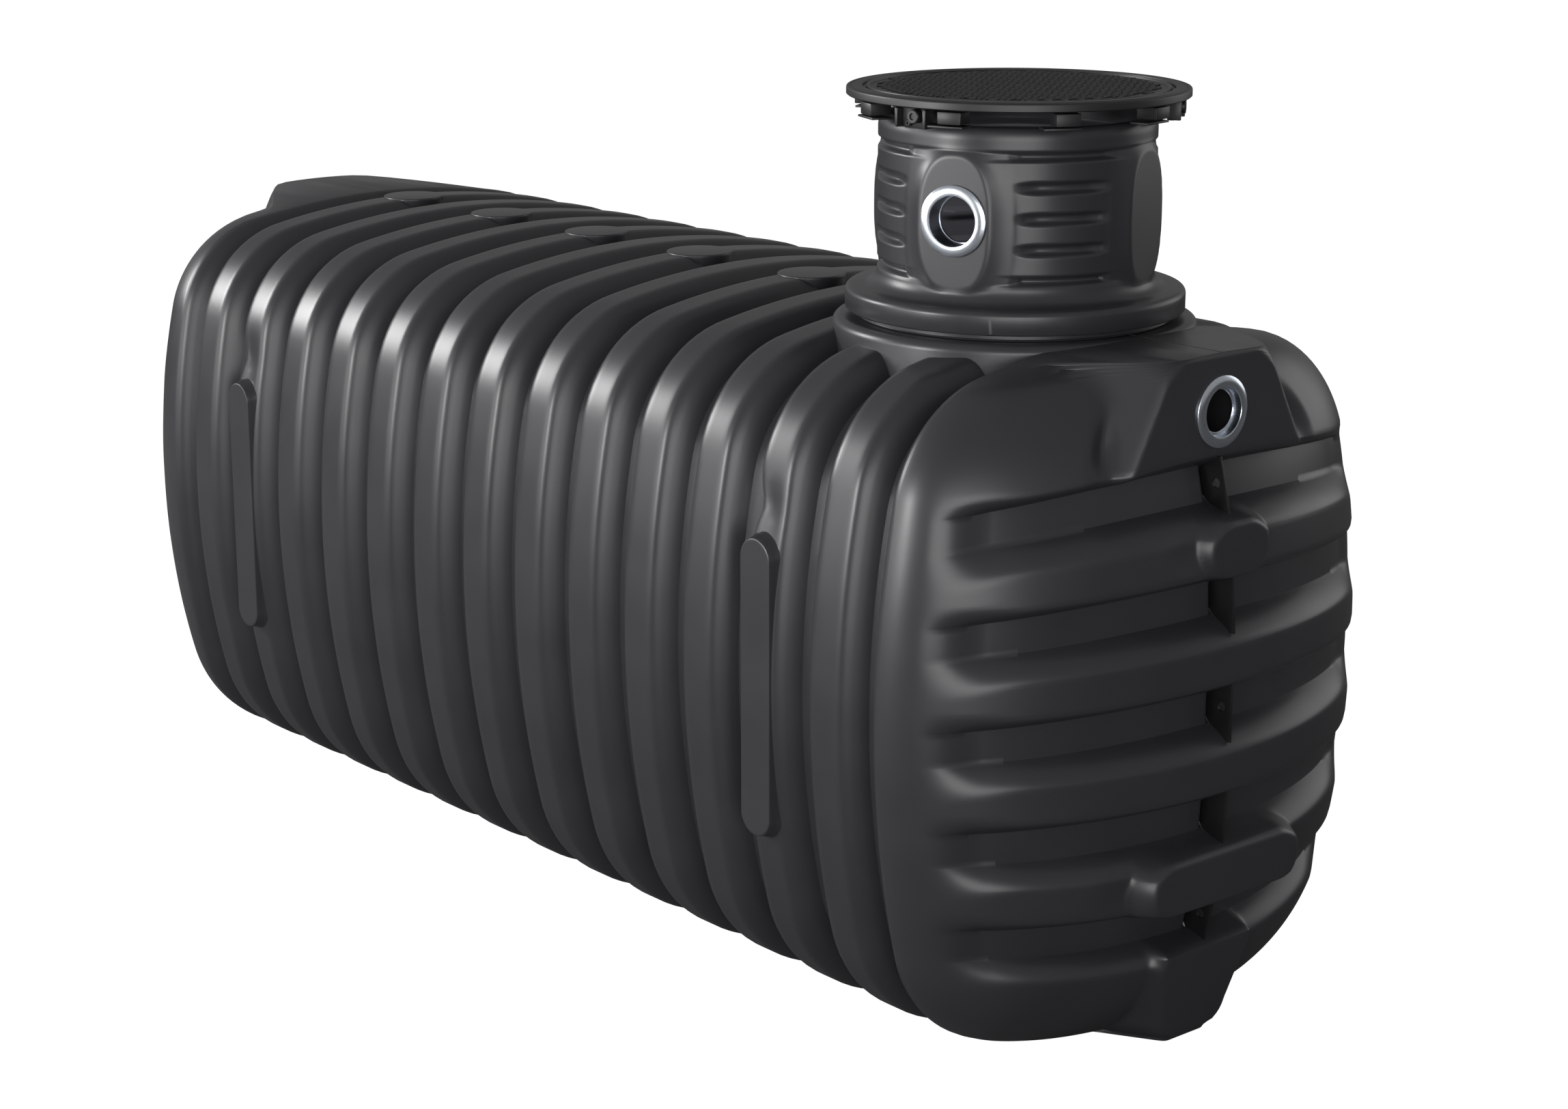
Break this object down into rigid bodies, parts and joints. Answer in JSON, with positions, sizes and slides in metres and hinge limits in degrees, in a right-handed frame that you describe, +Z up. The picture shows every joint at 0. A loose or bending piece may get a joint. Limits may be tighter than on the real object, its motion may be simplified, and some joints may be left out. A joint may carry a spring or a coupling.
{
  "type": "underground water tank",
  "caption": "Long black moulded underground water tank with hoop ribs, domed ends and a round access shaft with a cover and pipe seals.",
  "frame": {"origin": "on the ground under the middle of the barrel, the centre of the bounding box's base", "axes": "+X along the tank towards the inlet end, +Z up, the moulding's parting plane is Y = 0"},
  "size_m": [3.8394, 1.509, 2.17],
  "materials": {
    "black_polyethylene": "satin moulded",
    "cover_polymer": "fine moulded",
    "bright_seal_ring": "bright satin"
  },
  "bodies": {
    "root": {"access_cover": "cover_polymer", "cover_frame": "cover_polymer", "far_end": "black_polyethylene", "inlet_end": "black_polyethylene", "inlet_pipe_seal": "bright_seal_ring", "neck_collar": "black_polyethylene", "parting_web_far_1": "black_polyethylene", "parting_web_far_2": "black_polyethylene", "parting_web_far_3": "black_polyethylene", "parting_web_far_4": "black_polyethylene", "parting_web_far_5": "black_polyethylene", "parting_web_near_1": "black_polyethylene", "parting_web_near_2": "black_polyethylene", "parting_web_near_3": "black_polyethylene", "parting_web_near_4": "black_polyethylene", "parting_web_near_5": "black_polyethylene", "rib_hoop_01": "black_polyethylene", "rib_hoop_02": "black_polyethylene", "rib_hoop_03": "black_polyethylene", "rib_hoop_04": "black_polyethylene", "rib_hoop_05": "black_polyethylene", "rib_hoop_06": "black_polyethylene", "rib_hoop_07": "black_polyethylene", "rib_hoop_08": "black_polyethylene", "rib_hoop_09": "black_polyethylene", "rib_hoop_10": "black_polyethylene", "rib_hoop_11": "black_polyethylene", "rib_hoop_12": "black_polyethylene", "rib_hoop_13": "black_polyethylene", "riser_shaft": "black_polyethylene", "screw_bracket_1": "cover_polymer", "screw_bracket_2": "cover_polymer", "screw_bracket_3": "cover_polymer", "shaft_pipe_seal": "bright_seal_ring", "shaft_seal_plate": "black_polyethylene", "side_pad_far_left": "black_polyethylene", "side_pad_far_right": "black_polyethylene", "side_pad_near_left": "black_polyethylene", "side_pad_near_right": "black_polyethylene", "top_disc_1": "black_polyethylene", "top_disc_2": "black_polyethylene", "top_disc_3": "black_polyethylene", "top_disc_4": "black_polyethylene", "top_disc_5": "black_polyethylene"}
  },
  "joints": []
}
